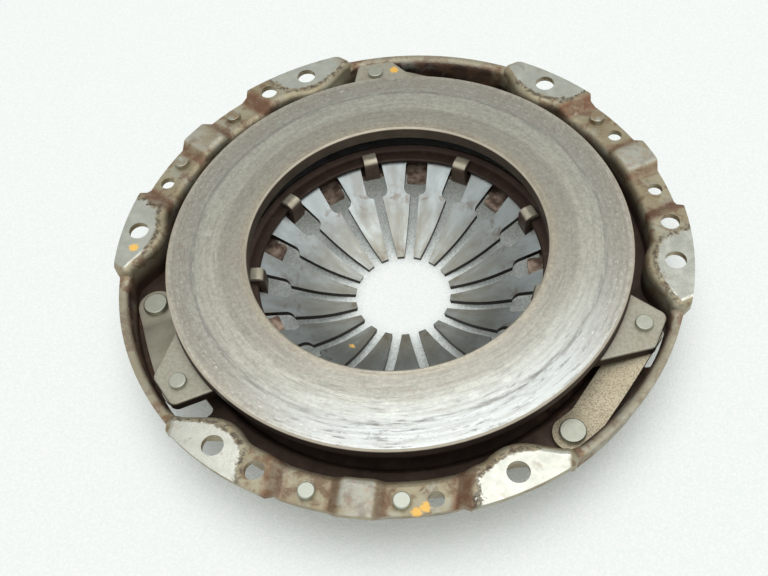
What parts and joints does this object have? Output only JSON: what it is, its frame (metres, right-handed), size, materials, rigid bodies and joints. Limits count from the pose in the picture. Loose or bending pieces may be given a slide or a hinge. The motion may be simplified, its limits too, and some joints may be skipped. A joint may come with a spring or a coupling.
{
  "type": "clutch pressure plate",
  "caption": "Diaphragm-spring clutch cover assembly whose sprung cast-iron pressure plate, hung on drive straps, travels along the clutch axis inside a pressed steel cover.",
  "frame": {"origin": "on the clutch axis, in the plane of the bolt pads", "axes": "+Z along the clutch axis towards the flywheel; -Y through the middle of one flange group; groups repeat every 120 degrees"},
  "size_m": [0.2514, 0.2485, 0.0446],
  "materials": {
    "cover_steel": "dull pressed sheet, brown staining",
    "plate_iron": "machined and worn in rings, light rust",
    "spring_steel": "shot-peened blue grey",
    "ring_steel": "dark brown",
    "strap_steel": "dull, finely speckled",
    "rivet_steel": "plated, pale",
    "balance_steel": "dull with brown tint"
  },
  "bodies": {
    "cover": {"cover": "cover_steel", "diaphragm_spring": "spring_steel", "front_fulcrum_ring": "ring_steel", "rear_fulcrum_ring": "ring_steel", "drive_strap_a_leaf_1": "strap_steel", "drive_strap_a_leaf_2": "strap_steel", "drive_strap_a_leaf_3": "strap_steel", "drive_strap_b_leaf_1": "strap_steel", "drive_strap_b_leaf_2": "strap_steel", "drive_strap_b_leaf_3": "strap_steel", "drive_strap_c_leaf_1": "strap_steel", "drive_strap_c_leaf_2": "strap_steel", "drive_strap_c_leaf_3": "strap_steel", "strap_rivet_a": "rivet_steel", "strap_rivet_b": "rivet_steel", "strap_rivet_c": "rivet_steel", "balance_rivet_1": "balance_steel", "balance_rivet_2": "balance_steel", "balance_rivet_3": "balance_steel", "balance_rivet_4": "balance_steel", "balance_rivet_5": "balance_steel"},
    "pressure_plate": {"pressure_plate": "plate_iron", "lug_rivet_a": "rivet_steel", "lug_rivet_b": "rivet_steel", "lug_rivet_c": "rivet_steel"}
  },
  "joints": [
    {"name": "plate_travel", "type": "slide", "parent": "cover", "child": "pressure_plate", "axis": [0, 0, 1], "range_m": [-0.0045, 0], "stiffness_N_per_m": 20000, "springref_m": 0.01, "deforming": ["diaphragm_spring", "drive_strap_a_leaf_1", "drive_strap_a_leaf_2", "drive_strap_a_leaf_3", "drive_strap_b_leaf_1", "drive_strap_b_leaf_2", "drive_strap_b_leaf_3", "drive_strap_c_leaf_1", "drive_strap_c_leaf_2", "drive_strap_c_leaf_3"]}
  ]
}
